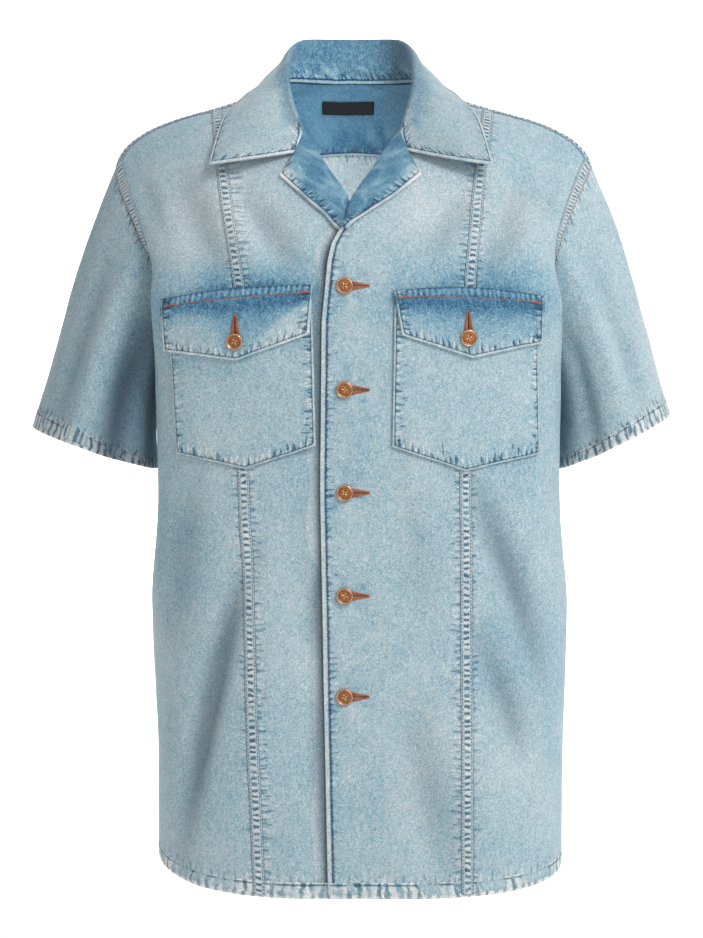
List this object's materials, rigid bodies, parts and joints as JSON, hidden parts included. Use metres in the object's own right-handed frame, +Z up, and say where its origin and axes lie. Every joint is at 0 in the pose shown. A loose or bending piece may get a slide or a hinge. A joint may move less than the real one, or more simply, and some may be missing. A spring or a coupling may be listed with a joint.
{
  "type": "denim shirt",
  "caption": "Short-sleeved denim shirt with an open camp collar, chest pockets with button flaps and a buttoned front, filled out as if worn.",
  "frame": {"origin": "between the shoulders at the foot of the neck, where the wearer's neck and shoulders carry the shirt", "axes": "+Z up, +X to the wearer's left, -Y to the wearer's front"},
  "size_m": [0.6115, 0.2596, 0.8189],
  "materials": {
    "denim": "washed light blue denim, twill",
    "denim_mid": "washed mid blue denim, twill",
    "denim_dark": "washed darker blue denim, twill",
    "copper": "antique copper, worn bright at the edges",
    "label_black": "woven satin, blank",
    "thread": "brown-grey topstitching thread",
    "thread_orange": "orange buttonhole and bar tack thread"
  },
  "bodies": {
    "root": {"back_panel": "denim", "yoke_outer": "denim", "yoke_inner": "denim_dark", "front_centre_left": "denim", "front_centre_right": "denim", "front_side_left": "denim", "front_side_right": "denim", "sleeve_left": "denim", "sleeve_right": "denim", "collar": "denim_mid", "lapel_left": "denim_dark", "lapel_right": "denim_dark", "pocket_left": "denim", "pocket_right": "denim", "flap_left": "denim_mid", "flap_right": "denim_mid", "button_front_1": "copper", "button_front_2": "copper", "button_front_3": "copper", "button_front_4": "copper", "button_front_5": "copper", "button_flap_left": "copper", "button_flap_right": "copper", "neck_label": "label_black"}
  },
  "joints": []
}
